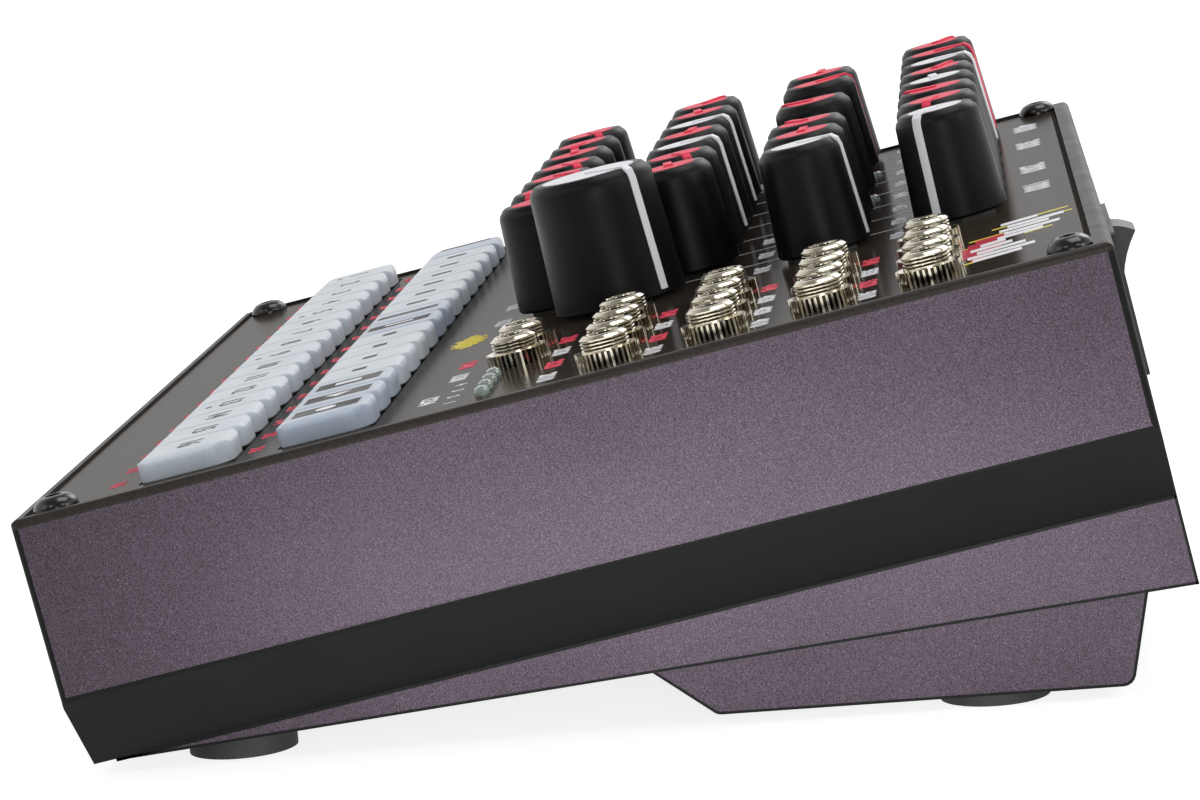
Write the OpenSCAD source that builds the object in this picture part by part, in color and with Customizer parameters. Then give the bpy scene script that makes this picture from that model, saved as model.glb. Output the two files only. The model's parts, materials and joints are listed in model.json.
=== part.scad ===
/* [Case] */
// Width of the case
case_w = 189; // [175:1:240]
// Depth of the case along the panel
case_d = 135; // [132:1:170]
// Height of the straight part of each side
side_h = 22.2; // [20:0.1:34]
// How far the lower bevel of each side runs in
bevel_in = 8.1; // [4:0.1:12]
// Height of that bevel
bevel_h = 9.8; // [7:0.1:16]
// How much deeper the base is at the rear than at the front
wedge_h = 11.1; // [6:0.1:16]
// Slope of the panel, in degrees
tilt = 10; // [7:0.5:13]
// Thickness of the side and front walls
wall = 2.6; // [2.2:0.1:3.4]
// Thickness of the rear wall
rear_wall = 3.2; // [2.8:0.1:4]
// Width of the rim beside the panel
rim_w = 1.5; // [1:0.1:1.8]
// Width of the rim behind the panel
rear_rim = 2.3; // [1.8:0.1:2.5]
// Height of the rim above the panel
rim_h = 0.35; // [0:0.05:0.8]
// Rounding of the outer edges
edge_r = 0.9; // [0.4:0.1:1.4]
// Rounding of the rear top edge
rear_edge_r = 1.1; // [0.5:0.1:1.5]
// Thickness of the base plate
base_t = 2; // [1.6:0.1:2.6]
// Height of the lip that centres the base in the shell
lip_h = 3.5; // [2:0.1:5]
// Thickness of that lip
lip_t = 1.6; // [1.2:0.1:2.4]
// Gap between the lip and the shell
lip_gap = 0.2; // [0.1:0.05:0.4]

/* [Riser and feet] */
// Height of the lower front edge above the table
front_gap = 1.5; // [1.2:0.1:3]
// Distance from the front edge to the top of the riser
riser_y0 = 73.6; // [66:0.1:80]
// Distance from the front edge to the foot of the riser
riser_y1 = 81.7; // [80.5:0.1:90]
// Distance from the riser's rear foot to the case's rear edge
riser_back = 3; // [1:0.1:8]
// How far the rear face of the riser leans out
riser_lean = 2.5; // [0:0.1:4]
// Distance from the case's side to the riser
riser_in = 11; // [9:0.1:20]
// Wall thickness of the riser
riser_t = 2; // [1.6:0.1:2.6]
// Height of the rear feet
foot_h = 1.6; // [1.2:0.1:2.4]
// Radius of each foot
foot_r = 6.75; // [5:0.05:7]
// Distance from the case's side to the centre of a foot
foot_in = 19; // [18:0.1:40]
// Distance from the front edge to the front feet
foot_y0 = 22.3; // [18:0.1:40]
// Distance from the riser's rear foot to the rear feet
foot_back = 16.7; // [9:0.1:24]

/* [Panel] */
// Thickness of the panel
panel_t = 1.6; // [1.2:0.1:2]
// Gap round the panel
panel_gap = 0.15; // [0.1:0.05:0.3]
// Distance from the case's edges to each corner screw
screw_in = 5; // [4.8:0.1:6]
// Diameter of the screw thread
screw_d = 3; // [2.5:0.1:3.2]
// Diameter of the screw head
head_d = 5.6; // [5:0.1:6]
// Height of the screw head
head_h = 1.65; // [1.3:0.05:2]
// Length of the screw under its head
screw_l = 8; // [6:0.5:9]
// Size of the block that takes each corner screw
block_s = 9; // [8:0.5:10]
// Distance from the case's side to each base screw
base_screw_in = 34; // [30:0.5:40]

/* [Circuit board] */
// Depth of the board's upper face below the panel's upper face
board_z = 11.5; // [11:0.1:13]
// Thickness of the board
board_t = 1.6; // [1:0.1:2]
// Gap between the board and the walls
board_gap = 1.2; // [0.8:0.1:3]
// Height of a key switch body
switch_h = 5; // [4.5:0.1:5.5]
// Width of a key switch body
switch_w = 6.2; // [5.8:0.1:7]

/* [Keys] */
// Keys in a row
key_n = 16; // [16:1:16]
// Distance from the case's side to the end of a key row
key_side = 6.5; // [4:0.1:10]
// Gap between neighbouring keys
key_gap = 0.4; // [0.3:0.05:0.6]
// Length of a key, front to back
key_l = 11.7; // [10:0.1:13]
// Height of a key above the panel
key_h = 2.8; // [2.6:0.1:3.6]
// How much lower a key's front edge is than its top
key_dip = 0.5; // [0.3:0.1:0.8]
// Depth of the slope at a key's front end
key_slope = 1.4; // [1:0.1:2]
// Rounding of the top edge at a key's rear end
key_back = 1.1; // [0.6:0.1:1.5]
// Rounding of a key's long top edges
key_er = 0.9; // [0.4:0.1:1.2]
// Rounding of a key's rear corners in plan
key_r = 3; // [1.6:0.1:4]
// Rounding of a key's front corners in plan
key_fr = 1.4; // [0.4:0.1:2]
// Distance from the case's front edge to the first row
key_y0 = 21.1; // [20:0.1:24]
// Distance between the two rows
key_row = 17.5; // [16:0.1:18]
// Gap between a key and the slot it stands in
slot_gap = 0.25; // [0.15:0.05:0.4]
// How far a key travels
key_travel = 0.8; // [0.5:0.1:1]
// Gap between a key's lip and the panel
key_lip_gap = 0.2; // [0.1:0.05:0.3]
// Radius of a key's stem
stem_r = 1.65; // [1.4:0.05:1.8]
// Running clearance of a stem in its switch
stem_gap = 0.1; // [0.05:0.01:0.2]

/* [Knobs] */
// Distance from the case's right side to the first knob column
knob_edge = 65.5; // [64:0.1:68]
// Distance from the case's left side to the last knob column
knob_side = 10.1; // [8:0.1:14]
// Distance from the front edge to the first knob row
knob_y0 = 62.2; // [61:0.1:64]
// Distance from the case's rear edge to the last knob row
knob_rear = 17.6; // [16:0.1:20]
// Radius of a small knob at its foot
knob_r = 6.2; // [5.8:0.05:6.4]
// Radius of a small knob at its shoulder
knob_rt = 5.6; // [5.3:0.05:5.7]
// Height of a small knob's top above the panel
knob_top = 14.9; // [13:0.1:17]
// Radius of the large knob at its foot
dial_r = 8.8; // [8.4:0.05:9]
// Radius of the large knob at its shoulder
dial_rt = 8.25; // [7.8:0.05:8.4]
// Height of the large knob's top above the panel
dial_top = 18; // [16:0.1:20]
// Gap between a knob's foot and the panel
knob_lift = 0.7; // [0.7:0.1:1.6]
// Height of the bevel round a knob's top
knob_bevel = 1.4; // [0.8:0.1:1.8]
// Width of that bevel
bevel_w = 0.95; // [0.6:0.05:1.2]
// Radius of a potentiometer shaft
shaft_r = 3; // [2.8:0.05:3]
// Running clearance of a shaft in its bush
shaft_gap = 0.05; // [0.03:0.01:0.1]
// Radius of a potentiometer bush
bush_r = 3.9; // [3.8:0.05:4]
// Height of a potentiometer bush above the panel
bush_h = 4.2; // [3.4:0.1:5]
// Height of a potentiometer nut
nut_h = 1.9; // [1.5:0.1:2.2]
// Corner radius of a potentiometer nut
nut_r = 4.9; // [4.8:0.05:5]
// Height of a potentiometer body
pot_h = 6.6; // [6:0.1:7.4]
// Width of a potentiometer body
pot_w = 9.5; // [9:0.1:10]
// Length of a potentiometer body
pot_l = 11; // [10.5:0.1:12]

/* [Patch jacks] */
// Distance from the case's right side to the first jack
jack_edge = 10.3; // [10.2:0.1:11]
// Distance between jacks across the panel
jack_px = 11; // [10.8:0.1:11.4]
// Distance from the front edge to the first jack row
jack_y0 = 60.4; // [59:0.1:62]
// Distance from the case's rear edge to the last jack row
jack_rear = 21.8; // [18:0.1:24]
// Radius of a jack's socket
socket_r = 1.8; // [1.75:0.01:1.9]
// Radius of a jack's threaded neck
neck_r = 3; // [2.9:0.05:3.1]
// Height of that neck above the panel
neck_h = 3.7; // [3.2:0.1:4.4]
// Pitch of the neck's thread
thread_p = 0.42; // [0.36:0.01:0.42]
// Depth of that thread
thread_d = 0.2; // [0.1:0.01:0.25]
// Radius of a knurled nut
ring_r = 4; // [3.8:0.05:4.3]
// Height of a knurled nut
ring_h = 1.75; // [1.4:0.05:2]
// Flutes round a knurled nut
ring_n = 36; // [24:1:40]
// Depth of a flute
ring_cut = 0.32; // [0.15:0.01:0.35]
// Gap between the bodies of neighbouring jacks, across the panel
jack_gx = 2; // [1:0.1:3]
// Gap between the bodies of neighbouring jacks, front to back
jack_gy = 2.8; // [1:0.1:4]
// Clearance of necks, bushes and lamps in the panel
hole_gap = 0.1; // [0.05:0.01:0.2]

/* [Lamps] */
// Radius of a lamp
lamp_r = 0.95; // [0.7:0.05:1.2]
// Height of a lamp's dome above the panel
lamp_h = 1.1; // [0.9:0.1:1.6]
// Distance from the case's right side to the first lamp of the group
lamp_edge = 9.6; // [8:0.1:12]
// Distance between the lamps of the group
lamp_px = 5; // [4:0.1:5.4]
// Distance from the front edge to the group
lamp_y0 = 57.8; // [54:0.1:60]
// Distance from the third knob row to the two single lamps
lamp_dy = 5.8; // [3:0.1:7]

/* [Rear] */
// Distance from the case's right side to the rear plate
plate_edge = 21.5; // [20:0.1:23]
// Length of the rear plate
plate_w = 34; // [33:1:60]
// Height of the rear plate
plate_h = 18; // [17.5:0.1:19]
// Distance from the panel's face to the rear plate
plate_top = 1.4; // [1:0.1:2]
// Thickness of the rear plate
plate_t = 0.6; // [0.5:0.1:1]
// Distance from the case's right side to the switch
rocker_edge = 44.5; // [44:0.1:46]
// Depth of the switch's pivot below the panel's face
rocker_z = 9.2; // [9:0.1:10.5]
// Width of the rocker
rocker_w = 8.2; // [7:0.1:9]
// Half length of the rocker
rocker_r = 6.5; // [6:0.1:6.8]
// Angle of the rocker from its middle position
rocker_a = 14; // [9:0.5:15]
// Distance from the rear face to the rocker's pivot
rocker_in = 0.6; // [0.4:0.1:1]
// Hollow of the rocker's face
rocker_dip = 1.4; // [0.6:0.1:1.5]
// Distance of the rocker's tips from the pivot
rocker_out = 2.6; // [2.5:0.1:3.4]
// Radius of the rocker's pivot pins
pin_r = 1; // [0.8:0.05:1.2]
// Running clearance of the pivot pins
pin_gap = 0.04; // [0.03:0.01:0.1]
// Gap round the rocker in its well
well_gap = 0.25; // [0.15:0.05:0.4]
// Wall of the rocker's well
well_t = 1.4; // [1.2:0.1:2]
// Distance from the case's right side to the power socket
inlet_edge = 30.5; // [28:0.1:32]
// Inner radius of the power socket
inlet_r = 3.2; // [2.8:0.05:3.4]
// Depth of the power socket's pin below the plate's face
inlet_pin = 2; // [1:0.1:3]

/* [Hidden] */
$fn = 48;
eps = 0.01;
// front edge of the shell's lower rim, below the panel's face
low = side_h + bevel_h;
base_a = atan(wedge_h / case_d);
half = case_w / 2;
base_half = half - bevel_in;
table_z = front_gap + low * cos(tilt);
riser_y2 = case_d - riser_back;
foot_y1 = riser_y2 - foot_back;
rear_low = low + wedge_h;
case_len = case_d * cos(tilt) + rear_low * sin(tilt);
// panel pocket
pocket_half = half - rim_w;
panel_half = pocket_half - panel_gap;
panel_y0 = rim_w + panel_gap;
panel_y1 = case_d - rear_rim - panel_gap;
// how far the bevel's inner face sits in at the lower rim
bevel_len = sqrt(bevel_in * bevel_in + bevel_h * bevel_h);
wall_dx = wall * bevel_h / bevel_len;
wall_dz = wall * bevel_in / bevel_len;
low_dx = wall_dx + wall_dz * bevel_in / bevel_h;
knee_dz = wall_dz - bevel_h * (wall - wall_dx) / bevel_in;
lip_half = base_half - low_dx - lip_gap;
base_y0 = wall + lip_gap;
lip_y1 = case_d - rear_wall - lip_gap;
// keys
key_p = (case_w - 2 * key_side) / key_n;
key_w = key_p - key_gap;
slot_half = key_p * key_n / 2 - key_gap / 2 + slot_gap;
key_lip = 0.7;
key_lip_t = 1;
thread_n = 3;
lip_z = panel_t + key_lip_gap;
switch_top = board_z - switch_h;
stem_end = switch_top + 2;
well_depth = stem_end + key_travel + 0.3;
// knobs and jacks
knob_px = (case_w - knob_edge - knob_side) / 7;
knob_py = (case_d - knob_y0 - knob_rear) / 3;
jack_py = (case_d - jack_y0 - jack_rear) / 4;
jack_w = jack_px - jack_gx;
jack_l = jack_py - jack_gy;
hollow_r = nut_r + 0.25;
hollow_top = bush_h + 0.4;
pot_top = board_z - pot_h;
dial_y = knob_y0 + knob_py / 2;
SMALL = [
    [1, 0], [2, 0], [3, 0], [4, 0], [5, 0], [6, 0], [7, 0],
    [1, 1], [2, 1], [3, 1], [4, 1], [5, 1], [6, 1], [7, 1],
    [0, 2], [1, 2], [2, 2], [4, 2], [6, 2], [7, 2],
    [0, 3], [1, 3], [2, 3], [3, 3], [4, 3], [5, 3], [6, 3], [7, 3]
];
JACKS = [
    [2, 0], [3, 0],
    for (row = [1:4]) for (col = [0:3]) [col, row]
];
// rear
plate_z = plate_top + plate_h / 2;
rocker_y = case_d - rocker_in;
well_z = rocker_r + well_gap;
well_x = rocker_w / 2 + well_gap;
well_in = 9;
// the well ends a little below the panel's underside
well_top = panel_t + well_gap;

// ---------- placing ----------

// The case frame: y along the panel from its front edge, z up from
// the panel's face. It is set at its slope with the feet on z = 0.
module in_case() {
    translate([0, -case_len / 2, table_z]) rotate([tilt, 0, 0]) children();
}

// The table frame, with y measured from the case's front edge.
module on_table() {
    translate([0, -case_len / 2, 0]) children();
}

// The frame of the sloping base within the case: z = 0 on its lower face.
module base_frame() {
    translate([0, 0, -low]) rotate([-base_a, 0, 0]) children();
}

function unit2(v) = v / norm(v);

// Points of one rounded corner b between a and c; b = [x, y, radius].
function corner(a, b, c, n) =
    let (p = [b.x, b.y], r = b[2])
    r <= 0 ? [p] :
    let (
        u = unit2([a.x, a.y] - p),
        v = unit2([c.x, c.y] - p),
        h = acos(u * v) / 2,
        m = p + unit2(u + v) * r / sin(h),
        s = p + u * r / tan(h) - m,
        e = p + v * r / tan(h) - m,
        a0 = atan2(s.y, s.x),
        d0 = atan2(e.y, e.x) - a0,
        d = d0 > 180 ? d0 - 360 : d0 < -180 ? d0 + 360 : d0
    )
    [for (i = [0:n]) m + r * [cos(a0 + d * i / n), sin(a0 + d * i / n)]];

// An outline whose corners carry their own radius.
function rounded(p, n = 4) = [
    for (i = [0:len(p) - 1])
        each corner(p[(i + len(p) - 1) % len(p)], p[i], p[(i + 1) % len(p)], n)
];

// Extrudes an outline in x and z along y.
module along_y(y0, y1) {
    translate([0, y1, 0]) rotate([90, 0, 0]) linear_extrude(y1 - y0) children();
}

// Extrudes an outline in y and z along x, centred.
module along_x(w) {
    translate([-w / 2, 0, 0]) rotate([90, 0, 90]) linear_extrude(w) children();
}

module box(x0, x1, y0, y1, z0, z1) {
    translate([x0, y0, z0]) cube([x1 - x0, y1 - y0, z1 - z0]);
}

module disc_at(x, y, z0, z1, r) {
    translate([x, y, z0]) cylinder(r = r, h = z1 - z0);
}

// A closed profile of radius and height, turned about z.
module turned(p) {
    rotate_extrude() polygon(p);
}

// ---------- layout ----------

function key_x(i) = (i - (key_n - 1) / 2) * key_p;
function key_y(row) = key_y0 + row * key_row;
function knob_x(col) = half - knob_edge - col * knob_px;
function knob_y(row) = knob_y0 + row * knob_py;
function jack_x(col) = half - jack_edge - col * jack_px;
function jack_y(row) = jack_y0 + row * jack_py;
function lamp_x(i) = half - lamp_edge - i * lamp_px;

POTS = concat(
    [for (p = SMALL) [knob_x(p[0]), knob_y(p[1])]],
    [[knob_x(0), dial_y]]
);
LAMPS = [
    for (i = [0:3]) [lamp_x(i), lamp_y0],
    [knob_x(3), knob_y(2) + lamp_dy], [knob_x(5), knob_y(2) + lamp_dy]
];
SCREWS = [
    for (s = [-1, 1]) for (y = [screw_in, case_d - screw_in])
        [s * (half - screw_in), y]
];
base_screw_x = half - base_screw_in;
base_screw_y = base_y0 + lip_t + head_d / 2 + 0.8;
boss_h = screw_l + 3;

// ---------- case ----------

module side_outline(top) {
    polygon(rounded([
        [-half, top, edge_r], [-half, -side_h, 1.6],
        [-base_half, -low, 0], [base_half, -low, 0],
        [half, -side_h, 1.6], [half, top, edge_r]
    ]));
}

module shell_outer() {
    intersection() {
        along_y(0, case_d) side_outline(rim_h);
        along_x(case_w) polygon(rounded([
            [0, -low, 0], [case_d, -low, 0],
            [case_d, rim_h, rear_edge_r], [0, rim_h, edge_r]
        ]));
        translate([0, 0, -low]) linear_extrude(low + rim_h) polygon(rounded([
            [-half, 0, edge_r], [half, 0, edge_r],
            [half, case_d, edge_r], [-half, case_d, edge_r]
        ]));
    }
}

module shell_cavity() {
    along_y(wall, case_d - rear_wall) polygon([
        [-half + wall, -panel_t], [-half + wall, -side_h + knee_dz],
        [-base_half + low_dx, -low - eps], [base_half - low_dx, -low - eps],
        [half - wall, -side_h + knee_dz], [half - wall, -panel_t]
    ]);
    box(-pocket_half, pocket_half, rim_w, case_d - rear_rim, -panel_t, rim_h + 1);
}

module shell_blocks() {
    for (s = SCREWS) {
        x0 = s.x < 0 ? -half + rim_w : half - rim_w - block_s;
        y0 = s.y < case_d / 2 ? rim_w : case_d - rear_rim - block_s;
        box(x0, x0 + block_s, y0, y0 + block_s, -board_z + 1, -panel_t);
    }
    // bosses for the two base screws, joined to the front wall
    for (s = [-1, 1]) base_frame() {
        box(s * base_screw_x - head_d / 2, s * base_screw_x + head_d / 2,
            wall / 2, base_screw_y, lip_h + 1, boss_h);
        disc_at(s * base_screw_x, base_screw_y, base_t, boss_h, head_d / 2);
    }
}

module top_shell() color([0.38, 0.34, 0.39]) in_case() difference() {
    union() {
        difference() {
            shell_outer();
            shell_cavity();
        }
        shell_blocks();
    }
    for (s = SCREWS)
        disc_at(s.x, s.y, -board_z, 0, screw_d / 2);
    for (s = [-1, 1]) base_frame()
        disc_at(s * base_screw_x, base_screw_y, 0, boss_h - 2, screw_d / 2);
    // window for the rear plate's wells
    box(half - rocker_edge - well_x - well_t - well_gap,
        half - rocker_edge + well_x + well_t + well_gap,
        case_d - rear_wall - 1, case_d + 1,
        -rocker_z - well_z - well_t - well_gap, -panel_t);
    translate([half - inlet_edge, case_d + 1, -plate_z])
        rotate([90, 0, 0]) cylinder(r = inlet_r + well_t + well_gap, h = rear_wall + 2);
}

// Depth of the base's lower face below the panel's face
function base_low(y) = low + wedge_h * y / case_d;

// Height of the base's lower face above the table, y from the case's front
function on_base_z(y) = front_gap + tan(tilt - base_a) * (y - low * sin(tilt));

module riser_outline(in) {
    r = 1.6;
    top = on_base_z(riser_y2 + riser_lean) + 2 * base_t;
    polygon(rounded([
        [riser_y0 + in, top, 0],
        [riser_y0 + in, on_base_z(riser_y0), 0],
        [riser_y1 + in, foot_h + in, max(r - in, 0)],
        [riser_y2 - in, foot_h + in, max(r - in, 0)],
        [riser_y2 + riser_lean - in, on_base_z(riser_y2), 0],
        [riser_y2 + riser_lean - in, top, 0]
    ]));
}

module base_solid() {
    // the wedge below the shell
    along_x(2 * base_half) polygon([
        [base_y0, -low], [case_d, -low],
        [case_d, -base_low(case_d)], [base_y0, -base_low(base_y0)]
    ]);
    // the lip inside the shell
    along_x(2 * lip_half) polygon([
        [base_y0, -base_low(base_y0)], [base_y0, -low + lip_h],
        [lip_y1, -low + lip_h], [lip_y1, -base_low(lip_y1)]
    ]);
}

module base_room() {
    along_x(2 * (lip_half - lip_t)) polygon([
        [base_y0 + lip_t, -low + lip_h + 1], [lip_y1 - lip_t, -low + lip_h + 1],
        [lip_y1 - lip_t, -base_low(lip_y1 - lip_t) + base_t],
        [base_y0 + lip_t, -base_low(base_y0 + lip_t) + base_t]
    ]);
}

module base_tray() color([0.42, 0.38, 0.43]) difference() {
    union() {
        in_case() difference() {
            base_solid();
            base_room();
        }
        difference() {
            on_table() along_x(case_w - 2 * riser_in) riser_outline(0);
            in_case() base_frame()
                box(-case_w, case_w, -1, 2 * case_d, base_t / 2, case_d);
        }
    }
    // the riser is hollow and opens into the tray
    difference() {
        on_table() along_x(case_w - 2 * riser_in - 2 * riser_t) riser_outline(riser_t);
        in_case() along_x(3 * case_w) polygon([
            [-1, -low + lip_h + 1], [case_d + 1, -low + lip_h + 1],
            [case_d + 1, low], [-1, low]
        ]);
    }
    for (s = [-1, 1]) in_case() base_frame()
        disc_at(s * base_screw_x, base_screw_y, -1, base_t + 1, screw_d / 2 + 0.2);
}

module foot(x, y, h) {
    translate([x, y, 0]) cylinder(r = foot_r, h = h);
}

module feet() color([0.12, 0.12, 0.13]) difference() {
    on_table() for (s = [-1, 1]) {
        foot(s * (half - foot_in), foot_y0, 8);
        foot(s * (half - foot_in), foot_y1, foot_h);
    }
    in_case() along_x(2 * case_w) polygon([
        [-20, -base_low(-20)], [riser_y0 * 0.8, -base_low(riser_y0 * 0.8)],
        [riser_y0 * 0.8, 1], [-20, 1]
    ]);
}

// ---------- panel ----------

module front_panel() color([0.06, 0.06, 0.07]) in_case() difference() {
    translate([0, 0, -panel_t]) linear_extrude(panel_t) polygon(rounded([
        [-panel_half, panel_y0, 0.4], [panel_half, panel_y0, 0.4],
        [panel_half, panel_y1, 0.4], [-panel_half, panel_y1, 0.4]
    ], 2));
    for (row = [0, 1])
        box(-slot_half, slot_half,
            key_y(row) - key_l / 2 - slot_gap, key_y(row) + key_l / 2 + slot_gap,
            -panel_t - 1, 1);
    for (p = JACKS)
        disc_at(jack_x(p[0]), jack_y(p[1]), -panel_t - 1, 1, neck_r + hole_gap);
    for (p = POTS)
        disc_at(p.x, p.y, -panel_t - 1, 1, bush_r + hole_gap);
    for (p = LAMPS)
        disc_at(p.x, p.y, -panel_t - 1, 1, lamp_r + hole_gap);
    for (s = SCREWS)
        disc_at(s.x, s.y, -panel_t - 1, 1, screw_d / 2 + 0.15);
}

// A button-head screw with a hexagon socket, its head's seat at z = 0.
module screw() {
    difference() {
        turned([
            [0, -screw_l], [screw_d / 2 - 0.4, -screw_l],
            [screw_d / 2 - 0.02, -screw_l + 0.4], [screw_d / 2 - 0.02, 0],
            [head_d / 2, 0], [head_d / 2, head_h * 0.25],
            [head_d / 2 - 0.35, head_h * 0.6], [head_d / 2 - 0.9, head_h * 0.88],
            [head_d / 2 - 1.5, head_h], [0, head_h]
        ]);
        translate([0, 0, head_h - 1]) cylinder(r = 1.15, h = 2, $fn = 6);
    }
}

module screws() color([0.08, 0.08, 0.09]) {
    in_case() for (s = SCREWS)
        translate([s.x, s.y, 0]) screw();
    for (s = [-1, 1]) in_case() base_frame()
        translate([s * base_screw_x, base_screw_y, 0]) mirror([0, 0, 1]) screw();
}

// ---------- works ----------

module circuit_board() color([0.07, 0.22, 0.13]) in_case() {
    box(-half + wall + board_gap, half - wall - board_gap,
        wall + board_gap, case_d - board_gap - well_in,
        -board_z - board_t, -board_z);
    // a switch body under each key
    for (row = [0, 1]) for (i = [0:key_n - 1])
        translate([key_x(i), key_y(row), -board_z]) difference() {
            translate([-switch_w / 2, -switch_w / 2, 0])
                cube([switch_w, switch_w, switch_h]);
            translate([0, 0, board_z - well_depth])
                cylinder(r = stem_r + stem_gap, h = switch_h);
        }
}

module potentiometer() {
    translate([0, 0, -board_z]) difference() {
        union() {
            translate([-pot_w / 2, -pot_l / 2, 0]) cube([pot_w, pot_l, pot_h]);
            cylinder(r = bush_r, h = board_z + bush_h);
        }
        translate([0, 0, 1]) cylinder(r = shaft_r + shaft_gap, h = board_z + bush_h);
    }
}

module potentiometers() color([0.62, 0.62, 0.64]) in_case() {
    for (p = POTS) translate([p.x, p.y, 0]) {
        potentiometer();
        // its nut
        difference() {
            cylinder(r = nut_r, h = nut_h, $fn = 6);
            translate([0, 0, -1]) cylinder(r = bush_r + 0.02, h = nut_h + 2);
        }
    }
}

module patch_jack() {
    difference() {
        union() {
            translate([-jack_w / 2, -jack_l / 2, -board_z])
                cube([jack_w, jack_l, board_z - panel_t]);
            turned([
                [0, -panel_t - 0.5], [neck_r, -panel_t - 0.5],
                for (i = [0:thread_n - 1]) let (z = ring_h + 0.22 + i * thread_p)
                    each [[neck_r, z], [neck_r - thread_d, z + 0.35 * thread_p],
                        [neck_r, z + 0.7 * thread_p]],
                [neck_r, neck_h - 0.45], [neck_r - 0.6, neck_h], [0, neck_h]
            ]);
        }
        translate([0, 0, -board_z + 1]) cylinder(r = socket_r, h = board_z + neck_h);
        translate([0, 0, neck_h - 0.3]) turned([
            [0, -eps], [socket_r - 0.02, -eps], [socket_r + 0.3, 0.4], [0, 0.4]
        ]);
    }
}

module patch_jacks() color([0.75, 0.74, 0.7]) in_case()
    for (p = JACKS) translate([jack_x(p[0]), jack_y(p[1]), 0]) patch_jack();

// A round nut fluted all round its rim.
function flute(i, k, r) =
    let (a = (i + k) * 360 / ring_n)
    r * [cos(a), sin(a)];

module knurled_nut() {
    difference() {
        linear_extrude(ring_h) polygon([
            for (i = [0:ring_n - 1]) each [flute(i, 0, ring_r),
                flute(i, 0.42, ring_r), flute(i, 0.54, ring_r - ring_cut),
                flute(i, 0.88, ring_r - ring_cut)]
        ]);
        translate([0, 0, -1]) cylinder(r = neck_r + 0.02, h = ring_h + 2);
    }
}

module jack_nuts() color([0.78, 0.77, 0.73]) in_case()
    for (p = JACKS) translate([jack_x(p[0]), jack_y(p[1]), 0]) knurled_nut();

module lamps() color([0.85, 0.9, 0.88]) in_case()
    for (p = LAMPS) translate([p.x, p.y, 0]) turned([
        [0, -board_z], [lamp_r - 0.3, -board_z], [lamp_r - 0.3, -panel_t - 1.4],
        [lamp_r, -panel_t - 1.4], [lamp_r, lamp_h * 0.4],
        [lamp_r * 0.87, lamp_h * 0.75], [lamp_r * 0.5, lamp_h * 0.95], [0, lamp_h]
    ]);

// ---------- keys ----------

// The plan and the side of one key, cut from each other.
module key_cap() {
    intersection() {
        translate([0, 0, -lip_z]) linear_extrude(lip_z + key_h) polygon(rounded([
            [-key_w / 2, -key_l / 2, key_fr], [key_w / 2, -key_l / 2, key_fr],
            [key_w / 2, key_l / 2, key_r], [-key_w / 2, key_l / 2, key_r]
        ]));
        along_x(key_w + 2) polygon(rounded([
            [-key_l / 2, -lip_z - 1, 0], [key_l / 2, -lip_z - 1, 0],
            [key_l / 2, key_h, key_back],
            [-key_l / 2 + key_slope, key_h, 3],
            [-key_l / 2, key_h - key_dip, 0.3]
        ]));
        along_y(-key_l, key_l) polygon(rounded([
            [-key_w / 2, -lip_z - 1, 0], [key_w / 2, -lip_z - 1, 0],
            [key_w / 2, key_h, key_er], [-key_w / 2, key_h, key_er]
        ]));
    }
}

module key_at(i, row) {
    translate([key_x(i), key_y(row), 0]) {
        key_cap();
        translate([-key_w / 2, -key_l / 2 - slot_gap - key_lip, -lip_z - key_lip_t])
            cube([key_w, key_l + 2 * (slot_gap + key_lip), key_lip_t]);
        translate([0, 0, -stem_end]) cylinder(r = stem_r, h = stem_end - lip_z);
    }
}

module step_key(n) color([0.86, 0.89, 0.91]) in_case() key_at(n - 1, 0);

module key_bank(from, to) in_case()
    for (n = [from:to]) key_at(n - 1, 1);

module voice_keys() color([0.86, 0.89, 0.91]) key_bank(1, 7);
module select_keys() color([0.82, 0.85, 0.88]) key_bank(8, 13);
module transport_keys() color([0.84, 0.87, 0.9]) key_bank(14, 16);

// ---------- knobs ----------

// A turned cap with its shaft: tapering side, bevelled top, hollow foot.
module knob_body(r, rt, top) {
    difference() {
        turned([
            [0, knob_lift], [r - 0.25, knob_lift], [r, knob_lift + 0.3],
            [rt, top - knob_bevel],
            [rt - bevel_w * 0.18, top - knob_bevel * 0.6],
            [rt - bevel_w * 0.82, top - knob_bevel * 0.09],
            [rt - bevel_w, top], [0, top]
        ]);
        translate([0, 0, knob_lift - 1]) cylinder(r = hollow_r, h = hollow_top - knob_lift + 1);
    }
    translate([0, 0, -board_z + 1.3])
        cylinder(r = shaft_r, h = board_z - 1.3 + hollow_top + 2);
}

module small_knob(col, row) color([0.13, 0.13, 0.14]) in_case()
    translate([knob_x(col - 1), knob_y(row), 0]) knob_body(knob_r, knob_rt, knob_top);

module main_dial() color([0.13, 0.13, 0.14]) in_case()
    translate([knob_x(0), dial_y, 0]) knob_body(dial_r, dial_rt, dial_top);

// ---------- rear ----------

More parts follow.
